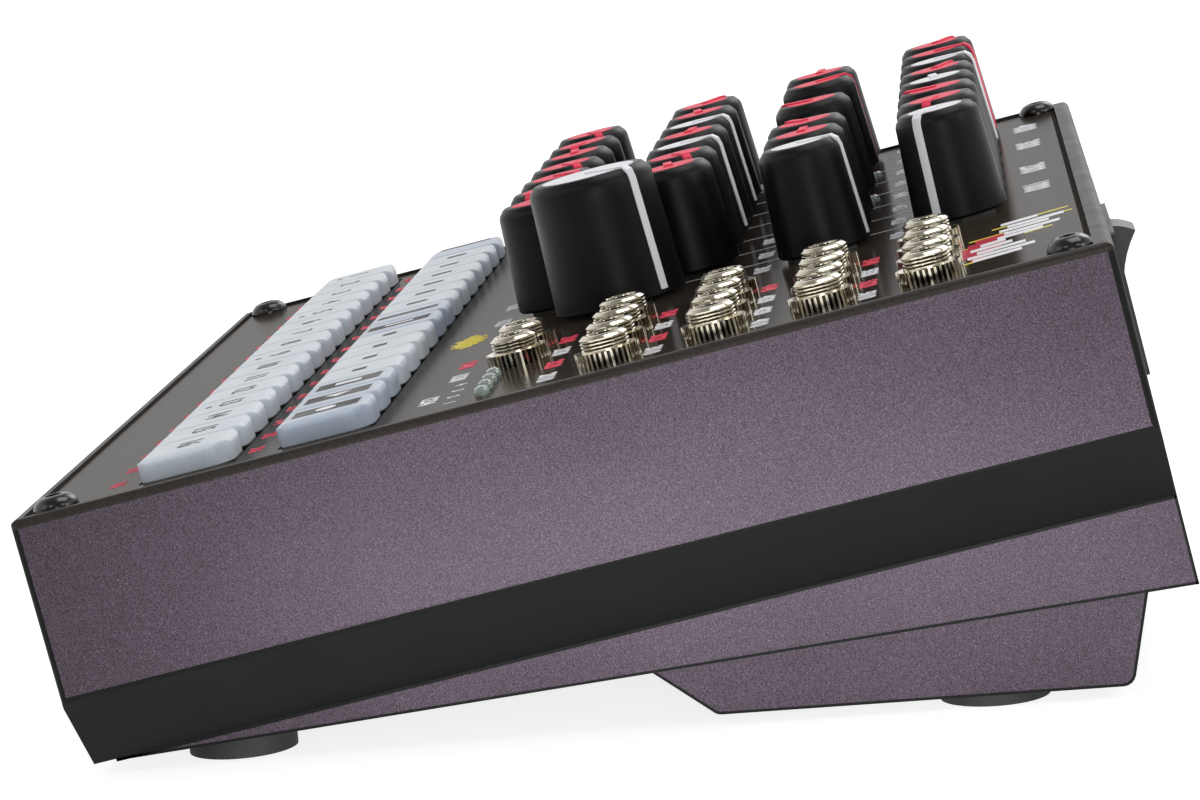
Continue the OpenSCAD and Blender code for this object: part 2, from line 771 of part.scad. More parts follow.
module rear_plate() color([0.1, 0.1, 0.11]) in_case() difference() {
    union() {
        translate([half - plate_edge - plate_w / 2, case_d + plate_t, -plate_z])
            rotate([90, 0, 0]) linear_extrude(plate_t) polygon(rounded([
                [-plate_w / 2, -plate_h / 2, 1], [plate_w / 2, -plate_h / 2, 1],
                [plate_w / 2, plate_h / 2, 1], [-plate_w / 2, plate_h / 2, 1]
            ]));
        // the switch's well
        box(half - rocker_edge - well_x - well_t, half - rocker_edge + well_x + well_t,
            case_d - well_in, case_d + plate_t / 2,
            -rocker_z - well_z - well_t, -well_top);
        // the power socket's barrel
        translate([half - inlet_edge, case_d + plate_t / 2, -plate_z])
            rotate([90, 0, 0]) cylinder(r = inlet_r + well_t, h = well_in + plate_t / 2);
    }
    box(half - rocker_edge - well_x, half - rocker_edge + well_x,
        case_d - well_in + well_t, case_d + plate_t + 1,
        -rocker_z - well_z, -rocker_z + well_z);
    translate([half - rocker_edge, rocker_y, -rocker_z]) rotate([0, 90, 0])
        cylinder(r = pin_r + pin_gap, h = 2 * (well_x + well_t * 0.7), center = true);
    // the ring round the power socket's centre pin
    translate([half - inlet_edge, case_d + plate_t, -plate_z]) rotate([90, 0, 0])
        difference() {
            translate([0, 0, -1]) cylinder(r = inlet_r, h = plate_t + well_in - well_t + 1);
            translate([0, 0, inlet_pin]) cylinder(r = 1, h = plate_t + well_in);
        }
}

// The rocker's side: an arc about the pivot at each end and a hollow face.
module rocker_side() {
    tip = sqrt(rocker_r * rocker_r - rocker_out * rocker_out);
    back = -2.5;
    a1 = atan2(tip, rocker_out);
    a2 = atan2(sqrt(rocker_r * rocker_r - back * back), back);
    n = 8;
    polygon([
        for (i = [0:n]) let (a = a1 + (a2 - a1) * i / n)
            rocker_r * [cos(a), sin(a)],
        for (i = [0:n]) let (a = -a2 + (a2 - a1) * i / n)
            rocker_r * [cos(a), sin(a)],
        for (i = [1:n - 1]) let (t = -1 + 2 * i / n)
            [rocker_out - rocker_dip * (1 - t * t), tip * t]
    ]);
}

module power_rocker() color([0.09, 0.09, 0.1]) in_case()
    translate([half - rocker_edge, rocker_y, -rocker_z]) rotate([-rocker_a, 0, 0]) {
        along_x(rocker_w) rocker_side();
        rotate([0, 90, 0])
            cylinder(r = pin_r, h = 2 * (well_x + well_t * 0.6), center = true);
    }

module knob_a2() small_knob(2, 0);
module knob_a3() small_knob(3, 0);
module knob_a4() small_knob(4, 0);
module knob_a5() small_knob(5, 0);
module knob_a6() small_knob(6, 0);
module knob_a7() small_knob(7, 0);
module knob_a8() small_knob(8, 0);
module knob_b2() small_knob(2, 1);
module knob_b3() small_knob(3, 1);
module knob_b4() small_knob(4, 1);
module knob_b5() small_knob(5, 1);
module knob_b6() small_knob(6, 1);
module knob_b7() small_knob(7, 1);
module knob_b8() small_knob(8, 1);
module knob_c1() small_knob(1, 2);
module knob_c2() small_knob(2, 2);
module knob_c3() small_knob(3, 2);
module knob_c5() small_knob(5, 2);
module knob_c7() small_knob(7, 2);
module knob_c8() small_knob(8, 2);
module knob_d1() small_knob(1, 3);
module knob_d2() small_knob(2, 3);
module knob_d3() small_knob(3, 3);
module knob_d4() small_knob(4, 3);
module knob_d5() small_knob(5, 3);
module knob_d6() small_knob(6, 3);
module knob_d7() small_knob(7, 3);
module knob_d8() small_knob(8, 3);
module step_key_01() step_key(1);
module step_key_02() step_key(2);
module step_key_03() step_key(3);
module step_key_04() step_key(4);
module step_key_05() step_key(5);
module step_key_06() step_key(6);
module step_key_07() step_key(7);
module step_key_08() step_key(8);
module step_key_09() step_key(9);
module step_key_10() step_key(10);
module step_key_11() step_key(11);
module step_key_12() step_key(12);
module step_key_13() step_key(13);
module step_key_14() step_key(14);
module step_key_15() step_key(15);
module step_key_16() step_key(16);

top_shell();
base_tray();
front_panel();
screws();
feet();
circuit_board();
potentiometers();
patch_jacks();
jack_nuts();
lamps();
rear_plate();
power_rocker();
main_dial();
knob_a2();
knob_a3();
knob_a4();
knob_a5();
knob_a6();
knob_a7();
knob_a8();
knob_b2();
knob_b3();
knob_b4();
knob_b5();
knob_b6();
knob_b7();
knob_b8();
knob_c1();
knob_c2();
knob_c3();
knob_c5();
knob_c7();
knob_c8();
knob_d1();
knob_d2();
knob_d3();
knob_d4();
knob_d5();
knob_d6();
knob_d7();
knob_d8();
step_key_01();
step_key_02();
step_key_03();
step_key_04();
step_key_05();
step_key_06();
step_key_07();
step_key_08();
step_key_09();
step_key_10();
step_key_11();
step_key_12();
step_key_13();
step_key_14();
step_key_15();
step_key_16();
voice_keys();
select_keys();
transport_keys();
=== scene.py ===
import json
import math

import bmesh
import bpy
from bpy.props import FloatProperty, FloatVectorProperty, PointerProperty
from mathutils import Color, Matrix, Vector
from mathutils.bvhtree import BVHTree


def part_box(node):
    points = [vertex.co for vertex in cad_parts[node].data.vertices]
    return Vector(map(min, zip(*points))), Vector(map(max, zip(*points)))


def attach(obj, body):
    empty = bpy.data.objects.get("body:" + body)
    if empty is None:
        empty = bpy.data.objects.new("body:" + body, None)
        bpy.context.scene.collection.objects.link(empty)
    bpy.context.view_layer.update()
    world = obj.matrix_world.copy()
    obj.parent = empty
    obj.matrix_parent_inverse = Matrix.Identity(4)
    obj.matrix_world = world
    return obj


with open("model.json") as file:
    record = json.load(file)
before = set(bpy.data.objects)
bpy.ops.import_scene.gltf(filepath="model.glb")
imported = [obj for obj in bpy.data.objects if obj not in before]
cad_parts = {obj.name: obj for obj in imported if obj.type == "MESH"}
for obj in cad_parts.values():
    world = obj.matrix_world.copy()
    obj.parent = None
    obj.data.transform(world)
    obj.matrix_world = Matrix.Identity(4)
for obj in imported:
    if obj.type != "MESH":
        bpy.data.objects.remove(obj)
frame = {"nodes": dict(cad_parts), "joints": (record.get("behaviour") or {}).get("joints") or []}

bl_info = {
    "name": "Drum Machine Dressing",
    "version": (1, 0, 0),
    "blender": (4, 5, 0),
    "location": "View3D > Sidebar > Drum Machine",
    "description": "Finishes, marks and prints for a sloping drum machine",
    "category": "Object",
}

MM = 0.001
NODES = frame["nodes"]
JOINTS = {joint["child"]: joint for joint in frame["joints"]}
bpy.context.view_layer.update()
KNOBS = sorted(name for name in NODES if name.startswith("knob_"))
STEP_KEYS = sorted(name for name in NODES if name.startswith("step_key_"))
# the second row's nodes and the places of their keys, counted from the left
UPPER_KEYS = {
    "voice_keys": range(1, 8),
    "select_keys": range(8, 14),
    "transport_keys": range(14, 17),
}
# between these places across the panel the second row's keys are greyer, in millimetres
GREY_SPANS = {"voice_keys": (-100, -77), "select_keys": (-11, 11), "transport_keys": (55, 100)}
WHITE_KNOBS = {"knob_b4", "knob_b6", "knob_c1", "knob_d1", "knob_d4", "knob_d6", "main_dial"}
# a knob turns this far to each side of the rear
KNOB_REACH = 150
# a pointer rib's outer side lies farther than this from the knob's axis
RIB_FROM = 4.6 * MM
# the panel's front edge lies this far behind the case's
PANEL_INSET = 1.65 * MM
# the sockets stand in columns and rows; the first row has only the last columns
SOCKET_COLUMNS = 4
SOCKET_ROWS = 5
FIRST_ROW_FROM = 2
# how square to the case a face of the shell or of the base is when it is painted; less square
# faces, the bevels and rounded edges, get a dark colour as painted shade
SHELL_SQUARE = 0.985
BASE_SQUARE = 0.96
# edges of CAD surfaces stay sharp above this angle when they are smoothed
SOFT_ANGLE = 38
# the side faces of the base lie within this depth of its greatest width
BASE_SIDES = 8 * MM
# places of the numbers, measured from the piece that they belong to
KNOB_NUMBER = -8.8 * MM
SOCKET_NUMBER = -8 * MM
LAMP_NUMBER = -3.3 * MM
LAMP_GROUP_NUMBER = -6.6 * MM
KEY_NUMBER_FRONT = -9.6 * MM
KEY_NUMBER_REAR = 7.9 * MM
# the big numbers along the rear edge
REAR_NUMBERS_ACROSS = (13.5, -10.5, -44.5, -70.5)
REAR_NUMBERS_UP = 127.4
# the lines between the columns of knobs: ends and half of the width
LINE_FROM, LINE_TO, LINE_HALF = 76 * MM, 111 * MM, 0.12 * MM
# soft lamps: name, place, width and brightness
SOFT_LAMPS = (
    ("softbox_above", (-0.1, 0.2, 1.1), 0.65, 3.6),
    ("softbox_front", (0.5, -1.1, 0.7), 0.6, 1.2),
    ("softbox_rear", (0.45, 1.0, 0.6), 0.45, 3),
    ("softbox_left", (-0.9, 0.4, 0.7), 0.5, 3),
    ("spark_front", (0.9, -0.5, 0.9), 0.2, 7),
    ("spark_rear", (0.8, 0.7, 0.9), 0.2, 7),
    ("side_fill", (0.9, 0.15, 0.22), 0.3, 4),
)
# the low strip beside the machine: place, width, brightness, height and target
LOW_STRIP = ((0.165, 0.014, 0.011), 0.13, 13, 0.015, (0.0945, 0.014, 0.02))
# how much darker the floor is to the eye than to the light, and how much it glows instead
FLOOR_SHADE = 0.58
FLOOR_GLOW = 0.82


# ---------- sizes and colours ----------

def length(title, told, value):
    """A length that is given in millimetres."""
    return FloatProperty(name=title, description=told, default=value * MM, min=0, unit="LENGTH",
                         precision=5)


def colour(title, told, value):
    """A colour that is given in steps of 255."""
    return FloatVectorProperty(name=title, description=told, default=[v / 255 for v in value],
                               size=3, min=0, max=1, subtype="COLOR_GAMMA")


class DrumSizes(bpy.types.PropertyGroup):
    cap_width: length("Cap width", "Width of the coloured cap on a small knob", 7.2)
    dial_cap_width: length("Dial cap width", "Width of the cap on the large knob", 12.4)
    cap_rise: length("Cap rise", "How far a cap stands above its knob", 0.05)
    pointer_width: length("Pointer width", "Width of a knob's pointer rib", 1.2)
    pointer_rise: length("Pointer rise", "How far the pointer rib stands proud", 0.28)
    knob_bevel: length("Knob bevel height", "Height of the bevel round a knob's top", 1.4)
    knob_bevel_width: length("Knob bevel width", "Width of that bevel", 0.95)
    nut_width: length("Nut width", "Width of a knurled nut", 8)
    lamp_width: length("Lamp width", "Width of a lamp", 1.9)
    lamp_pitch: length("Lamp pitch", "Distance between the lamps of the group", 5)
    neck_width: length("Neck width", "Width of a socket's threaded neck", 6)
    socket_width: length("Socket width", "Width of a socket's bore", 3.6)
    flute_depth: length("Flute depth", "Depth of the flutes round a nut", 0.32)
    thread_depth: length("Thread depth", "Depth of the thread on a neck", 0.2)
    strip: length("Bare strip", "Height of the unpainted strip under the panel's face", 0.75)
    # painted shade: the dark lines along the edges of the base's side faces
    shade_line: length("Edge line", "Width of the dark lines along the base's edges", 0.35)
    ink: length("Ink thickness", "Thickness of the printed marks", 0.03)
    numeral: length("Key numeral", "Height of the numerals on the keys", 3.1)
    label: length("Label numeral", "Height of the numerals on the panel", 2.1)


class DrumColours(bpy.types.PropertyGroup):
    paint: colour("Case paint", "Ground of the speckled case paint", (47, 41, 47))
    speck: colour("Case speck", "Light specks in the case paint", (78, 68, 79))
    # painted shade: the dark colour of the bevels, the rounded edges and the lines along the
    # base's edges
    edge: colour("Case edge", "Bevels and rounded edges of the case", (15, 15, 16))
    rim: colour("Rim", "Rim round the panel", (38, 34, 31))
    panel: colour("Panel", "Glossy panel", (14, 14, 14))
    knob: colour("Knob", "Soft black plastic of the knobs", (10, 10, 11))
    red: colour("Red mark", "Red caps, pointers and labels", (222, 66, 90))
    white: colour("White mark", "White caps, pointers and labels", (222, 222, 226))
    yellow: colour("Yellow mark", "Yellow of the printed stripes", (226, 205, 60))
    crimson: colour("Crimson mark", "Deep red of the printed stripes", (176, 34, 60))
    key: colour("Key", "Milky plastic of the keys", (186, 193, 200))
    grey_key: colour("Grey key", "Milky plastic of the greyer keys", (168, 177, 190))
    key_mark: colour("Key mark", "Dark grey marks on the keys", (58, 55, 56))
    nickel: colour("Nickel", "Plated nuts and sockets", (226, 218, 198))
    # painted shade: the plating down in the flutes and threads is painted darker
    groove_shade: colour("Nickel in grooves", "Plating down in flutes and threads", (62, 57, 49))
    lamp: colour("Lamp", "Greenish clear plastic of the lamps", (214, 230, 222))
    board: colour("Board", "Solder mask of the circuit board", (24, 70, 42))
    floor: colour("Floor", "Floor under the machine", (238, 238, 238))


class DrumStage(bpy.types.PropertyGroup):
    lens: FloatProperty(name="Lens", description="Focal length of the camera", default=137.86,
                        unit="CAMERA")
    camera_place: FloatVectorProperty(name="Camera place", description="Where the camera stands",
                                      default=(0.62723, 0.04700, 0.12055), subtype="TRANSLATION",
                                      unit="LENGTH", precision=5)
    camera_turn: FloatVectorProperty(name="Camera turn", description="How the camera is turned",
                                     default=[math.radians(a) for a in (81.6841, 4.9877, 94.1491)],
                                     subtype="EULER", unit="ROTATION", precision=5)
    room_light: FloatProperty(name="Room light", description="Even light from all sides",
                              default=0.45, min=0)
    room_shade: FloatProperty(name="Room shade",
                              description="Shade of the dark side in reflections",
                              default=0.3, min=0, max=1)
    floor_width: FloatProperty(name="Floor width", description="Width of the floor", default=8,
                               unit="LENGTH")


def sizes():
    """The sizes that a user may change."""
    return bpy.context.scene.drum_sizes


def tint(name):
    """A colour of the machine, made scene linear."""
    chosen = getattr(bpy.context.scene.drum_colours, name)
    return (*Color(chosen).from_srgb_to_scene_linear(), 1)


# ---------- the case frame ----------

def case_frame():
    """x across, y up the panel from the case's front edge, z out of the panel, in metres."""
    out = Vector(JOINTS["main_dial"]["axis"]).normalized()
    across = Vector((1, 0, 0))
    up = out.cross(across)
    low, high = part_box("front_panel")
    deep, tall = high.y - low.y, high.z - low.z
    thick = (tall * up.y - deep * up.z) / (up.y ** 2 - up.z ** 2)
    start = Vector((0, low.y, low.z + thick * up.y)) - up * PANEL_INSET
    return Matrix.Translation(start) @ Matrix((across, up, out)).transposed().to_4x4()


CASE = case_frame()
SLOPE = math.atan2(CASE[2][1], CASE[1][1])


def case_points(node):
    """The points of a CAD node in the case frame."""
    back = CASE.inverted()
    return [back @ v.co for v in NODES[node].data.vertices]


def case_box(node):
    """The lowest and highest corner of a CAD node in the case frame."""
    points = case_points(node)
    return (Vector([min(p[i] for p in points) for i in range(3)]),
            Vector([max(p[i] for p in points) for i in range(3)]))


def case_tree(node):
    """A CAD node's surface in the case frame, for laying marks on it."""
    return BVHTree.FromPolygons(case_points(node),
                                [tuple(p.vertices) for p in NODES[node].data.polygons])


def axis_of(node):
    """Where a knob's axis meets the panel, as x and y in the case frame."""
    place = CASE.inverted() @ Vector(JOINTS[node]["pos_m"])
    return place.x, place.y


# ---------- shapes ----------

def block(bm, low, high):
    """Adds a block between two corners."""
    low, high = Vector(low), Vector(high)
    verts = bmesh.ops.create_cube(bm, size=1)["verts"]
    stretch = Matrix.Diagonal((*(high - low), 1))
    bmesh.ops.transform(bm, matrix=Matrix.Translation((low + high) / 2) @ stretch, verts=verts)
    return verts


def prism(bm, outline, low, high):
    """Adds a flat shape with that outline of x and y."""
    face = bm.faces.new([bm.verts.new((x, y, low)) for x, y in outline])
    made = bmesh.ops.extrude_face_region(bm, geom=[face])["geom"]
    top = [item for item in made if isinstance(item, bmesh.types.BMVert)]
    bmesh.ops.translate(bm, vec=(0, 0, high - low), verts=top)


def disc(bm, x, y, radius, low, high, segments=48):
    """Adds a round plate."""
    middle = Matrix.Translation((x, y, (low + high) / 2))
    bmesh.ops.create_cone(bm, cap_ends=True, segments=segments, radius1=radius, radius2=radius,
                          depth=high - low, matrix=middle)


def slice_across(bm, verts, y0, y1, step):
    """Cuts a shape across at even steps of y, so that it can bend over a key."""
    count = max(int((y1 - y0) / step), 1)
    for i in range(1, count):
        inside = set(verts)
        faces = [f for f in bm.faces if f.verts[0] in inside]
        edges = dict.fromkeys(e for f in faces for e in f.edges)
        points = dict.fromkeys(v for f in faces for v in f.verts)
        cut = bmesh.ops.bisect_plane(bm, geom=[*edges, *faces, *points],
                                     plane_co=(0, y0 + i * step, 0), plane_no=(0, 1, 0))["geom"]
        verts = [item for item in cut if isinstance(item, bmesh.types.BMVert)]


def drape(verts, tree):
    """Moves points, whose z is a height above the surface below them, onto that surface."""
    down = Vector((0, 0, -1))
    for v in verts:
        hit = tree.ray_cast(Vector((v.co.x, v.co.y, 1)), down)[0]
        if hit is None:
            raise RuntimeError("a mark lies beside the piece that carries it")
        v.co.z += hit.z


def shade_lines(node_name, wide, thick, reach):
    """Thin dark strips of painted shade along the edges of the outer side faces of a CAD node.

    Faces count whose x lies no more than the reach inside the node's greatest width.
    """
    source = bmesh.new()
    source.from_mesh(NODES[node_name].data)
    bmesh.ops.remove_doubles(source, verts=source.verts, dist=0.001 * MM)
    bmesh.ops.transform(source, matrix=CASE.inverted(), verts=source.verts)
    source.normal_update()
    least = max(v.co.x for v in source.verts) - reach
    side = {f for f in source.faces
            if abs(f.normal.x) > 0.99 and f.verts[0].co.x * math.copysign(1, f.normal.x) > least}
    lines = bmesh.new()
    gap = 0.01 * MM
    for edge in source.edges:
        own = [f for f in edge.link_faces if f in side]
        if len(own) != 1:
            continue
        out = own[0].normal
        start, end = (v.co for v in edge.verts)
        along = (end - start).normalized()
        inward = out.cross(along)
        if inward.dot(own[0].calc_center_median() - start) < 0:
            inward.negate()
        start, end = start + (along + inward) * gap, end + (inward - along) * gap
        corners = (start, end, end + inward * wide, start + inward * wide)
        face = lines.faces.new([lines.verts.new(corner) for corner in corners])
        made = bmesh.ops.extrude_face_region(lines, geom=[face])["geom"]
        bmesh.ops.translate(lines, vec=out * thick,
                            verts=[item for item in made if isinstance(item, bmesh.types.BMVert)])
    source.free()
    return lines


LETTERS = {}
# height of the numerals in the built-in font at size 1
NUMERAL_SHARE = 0.7
# how much the strokes of the panel's numerals grow, as a share of their height
BOLD = 0.05
# pieces stay sharp at edges above this angle when they are smoothed
SHARP_ANGLE = 32


def numerals(bm, text, height, x, y, thick, bold=0.0):
    """Adds plain numerals, centred on x and y; bold is how much each stroke grows."""
    key = (text, height, thick, bold)
    if key not in LETTERS:
        curve = bpy.data.curves.new("numerals", "FONT")
        curve.body = text
        curve.size = height / NUMERAL_SHARE
        curve.align_x = "CENTER"
        curve.align_y = "CENTER"
        curve.extrude = thick / 2
        curve.offset = bold * height
        curve.resolution_u = 3
        holder = bpy.data.objects.new("numerals", curve)
        bpy.context.scene.collection.objects.link(holder)
        bpy.context.view_layer.update()
        evaluated = holder.evaluated_get(bpy.context.evaluated_depsgraph_get())
        LETTERS[key] = bpy.data.meshes.new_from_object(evaluated)
        bpy.data.objects.remove(holder)
    before = len(bm.verts)
    bm.from_mesh(LETTERS[key])
    bm.verts.ensure_lookup_table()
    bmesh.ops.translate(bm, vec=(x, y, thick / 2), verts=bm.verts[before:])


def piece(name, bm, body, material, smooth=False):
    """Makes a piece of a mesh drawn in the case frame and lets it ride on a body."""
    bmesh.ops.remove_doubles(bm, verts=bm.verts, dist=0.0005 * MM)
    bmesh.ops.transform(bm, matrix=CASE, verts=bm.verts)
    bmesh.ops.recalc_face_normals(bm, faces=bm.faces)
    mesh = bpy.data.meshes.new(name)
    bm.to_mesh(mesh)
    bm.free()
    mesh.materials.append(material)
    if smooth:
        mesh.shade_smooth()
        mesh.set_sharp_from_angle(angle=math.radians(SHARP_ANGLE))
    made = bpy.data.objects.new(name, mesh)
    bpy.context.scene.collection.objects.link(made)
    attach(made, body)
    return made


# ---------- shader nodes ----------

def node(tree, kind, inputs=None, **settings):
    """Adds a shader node, sets it and links or sets its inputs."""
    made = tree.nodes.new("ShaderNode" + kind)
    for key, value in settings.items():
        setattr(made, key, value)
    for key, value in (inputs or {}).items():
        if isinstance(value, bpy.types.NodeSocket):
            tree.links.new(value, made.inputs[key])
        else:
            made.inputs[key].default_value = value
    return made


def calc(tree, how, *values):
    """Adds a calculation with one or more values."""
    return node(tree, "Math", dict(enumerate(values)), operation=how).outputs[0]


def mix(tree, share, a, b, how="MIX"):
    """Mixes two colours."""
    return node(tree, "Mix", {0: share, 6: a, 7: b}, data_type="RGBA", blend_type=how).outputs[2]


def spread(tree, value, low, high, to_low=0.0, to_high=1.0):
    """Maps a value from one range to another, clamped."""
    inputs = {"Value": value, "From Min": low, "From Max": high, "To Min": to_low,
              "To Max": to_high}
    return node(tree, "MapRange", inputs).outputs[0]


def noise(tree, place, scale, detail=2.0, roughness=0.5):
    """Adds an even noise, from 0 to 1."""
    inputs = {"Vector": place, "Scale": scale, "Detail": detail, "Roughness": roughness}
    return node(tree, "TexNoise", inputs).outputs[0]


def group(name, inputs, outputs, fill):
    """Builds a node group once: fill takes its tree and inputs, and gives its outputs."""
    tree = bpy.data.node_groups.get(name)
    if tree:
        return tree
    tree = bpy.data.node_groups.new(name, "ShaderNodeTree")
    for key, kind, value in inputs:
        socket = tree.interface.new_socket(name=key, in_out="INPUT",
                                           socket_type="NodeSocket" + kind)
        if value is not None:
            socket.default_value = value
    for key, kind in outputs:
        tree.interface.new_socket(name=key, in_out="OUTPUT", socket_type="NodeSocket" + kind)
    start = tree.nodes.new("NodeGroupInput")
    end = tree.nodes.new("NodeGroupOutput")
    for key, socket in fill(tree, start.outputs).items():
        tree.links.new(socket, end.inputs[key])
    return tree


def use(tree, made, **inputs):
    """Places a node group in a material; a name's underscores stand for spaces."""
    box = tree.nodes.new("ShaderNodeGroup")
    box.node_tree = made
    for key, value in inputs.items():
        socket = box.inputs[key.replace("_", " ")]
        if isinstance(value, bpy.types.NodeSocket):
            tree.links.new(value, socket)
        else:
            socket.default_value = value
    return box.outputs


def case_place():
    """Group: place in the case frame, in millimetres."""
    def fill(tree, _):
        back = CASE.inverted()
        place = node(tree, "TexCoord").outputs["Object"]
        turned = node(tree, "Mapping", {
            "Vector": place, "Location": back.to_translation() / MM,
            "Rotation": (-SLOPE, 0, 0), "Scale": (1 / MM, 1 / MM, 1 / MM)})
        return {"Vector": turned.outputs[0]}
    return group("Case Place", [], [("Vector", "Vector")], fill)


def case_facing():
    """Group: which way a face points in the case frame."""
    def fill(tree, given):
        facing = node(tree, "NewGeometry").outputs["True Normal"]
        turned = node(tree, "VectorRotate", {"Vector": facing, "Angle": -SLOPE},
                      rotation_type="X_AXIS")
        parts = node(tree, "SeparateXYZ", {0: turned.outputs[0]}).outputs
        sizes_of = [calc(tree, "ABSOLUTE", p) for p in parts]
        most = calc(tree, "MAXIMUM", calc(tree, "MAXIMUM", sizes_of[0], sizes_of[1]), sizes_of[2])
        return {"Square": calc(tree, "GREATER_THAN", most, given["Limit"]),
                "Up": spread(tree, parts[2], 0.3, 0.9)}
    return group("Case Facing", [("Limit", "Float", 0.985)],
                 [("Square", "Float"), ("Up", "Float")], fill)


def socket_radius():
    """Group: distance from the axis of the nearest socket, in millimetres."""
    def fill(tree, given):
        low, high = case_box("jack_nuts")
        nut = sizes().nut_width
        first = ((high.x - nut / 2) / MM, (low.y + nut / 2) / MM)
        pitch = ((high.x - low.x - nut) / (SOCKET_COLUMNS - 1) / MM,
                 (high.y - low.y - nut) / (SOCKET_ROWS - 1) / MM)
        parts = node(tree, "SeparateXYZ", {0: given["Vector"]}).outputs
        squares = []
        for part, start, step in zip(parts, first, pitch):
            off = calc(tree, "WRAP", calc(tree, "SUBTRACT", part, start), step / 2, -step / 2)
            squares.append(calc(tree, "MULTIPLY", off, off))
        return {"Radius": calc(tree, "SQRT", calc(tree, "ADD", *squares))}
    return group("Socket Radius", [("Vector", "Vector", None)], [("Radius", "Float")], fill)


def speckle():
    """Group: a fine metallic speckle of two colours."""
    def fill(tree, given):
        place = given["Vector"]
        fine = noise(tree, place, 5.5, 2, 0.6)
        shifted = node(tree, "Mapping", {"Vector": place, "Location": (31, 17, 5)}).outputs[0]
        flakes = noise(tree, shifted, 9, 2, 0.7)
        cloud = noise(tree, shifted, 0.06, 2)
        light = spread(tree, fine, 0.38, 0.62)
        base = mix(tree, light, given["Dark"], given["Light"])
        glint = spread(tree, flakes, 0.6, 0.75)
        out = mix(tree, calc(tree, "MULTIPLY", glint, given["Glint"]), base, (0.5, 0.42, 0.5, 1))
        tone = spread(tree, cloud, 0.3, 0.7, 0.94, 1.06)
        grey = node(tree, "CombineXYZ", {0: tone, 1: tone, 2: tone}).outputs[0]
        return {"Colour": mix(tree, 1, out, grey, "MULTIPLY"), "Height": fine}
    return group("Speckle", [("Vector", "Vector", None), ("Dark", "Color", (0.08, 0.07, 0.08, 1)),
                             ("Light", "Color", (0.2, 0.18, 0.2, 1)), ("Glint", "Float", 0.3)],
                 [("Colour", "Color"), ("Height", "Float")], fill)


def grain():
    """Group: the fine grain and slight unevenness of a moulded or painted surface."""
    def fill(tree, given):
        fine = noise(tree, given["Vector"], given["Scale"], 3, 0.6)
        broad = noise(tree, given["Vector"], 0.12, 2)
        tone = spread(tree, fine, 0.3, 0.7, calc(tree, "SUBTRACT", 1, given["Tone"]),
                      calc(tree, "ADD", 1, given["Tone"]))
        grey = node(tree, "CombineXYZ", {0: tone, 1: tone, 2: tone}).outputs[0]
        shade = mix(tree, 1, given["Colour"], grey, "MULTIPLY")
        return {"Colour": shade, "Height": fine,
                "Roughness": spread(tree, broad, 0.3, 0.7, given["Smooth"], given["Rough"])}
    return group("Grain", [("Vector", "Vector", None), ("Colour", "Color", (0.5, 0.5, 0.5, 1)),
                           ("Scale", "Float", 4.0), ("Tone", "Float", 0.1),
                           ("Smooth", "Float", 0.3), ("Rough", "Float", 0.5)],
                 [("Colour", "Color"), ("Height", "Float"), ("Roughness", "Float")], fill)


def finish(name, **values):
    """A new material with one shader, whose plain values are set on its own sockets."""
    made = bpy.data.materials.new(name)
    made.use_nodes = True
    tree = made.node_tree
    shader = tree.nodes["Principled BSDF"]
    for key, value in values.items():
        shader.inputs[key.replace("_", " ")].default_value = value
    return made, tree, shader


def bump(tree, shader, height, depth, strength=0.5):
    """Feeds a height, with its depth in millimetres, to a shader's normal."""
    made = node(tree, "Bump", {"Height": height, "Distance": depth * MM, "Strength": strength})
    tree.links.new(made.outputs[0], shader.inputs["Normal"])


def grained(name, shade, scale, tone, smooth, rough, depth, **values):
    """A material of one colour with grain, uneven gloss and fine bumps."""
    made, tree, shader = finish(name, **values)
    place = use(tree, case_place())[0]
    worn = use(tree, grain(), Vector=place, Colour=shade, Scale=scale, Tone=tone, Smooth=smooth,
               Rough=rough)
    tree.links.new(worn["Colour"], shader.inputs["Base Color"])
    tree.links.new(worn["Roughness"], shader.inputs["Roughness"])
    bump(tree, shader, worn["Height"], depth)
    return made, tree, shader


def dress(node_name, material):
    """Gives a CAD node its finish."""
    slots = NODES[node_name].data.materials
    slots.clear()
    slots.append(material)


def soften(node_name):
    """Joins the seams of a CAD node's surface and smooths it, except at its sharp edges."""
    target = NODES[node_name]
    target.data.shade_smooth()
    target.modifiers.new("seams", "WELD").merge_threshold = 0.001 * MM
    target.modifiers.new("edges", "EDGE_SPLIT").split_angle = math.radians(SOFT_ANGLE)


# ---------- finishes ----------

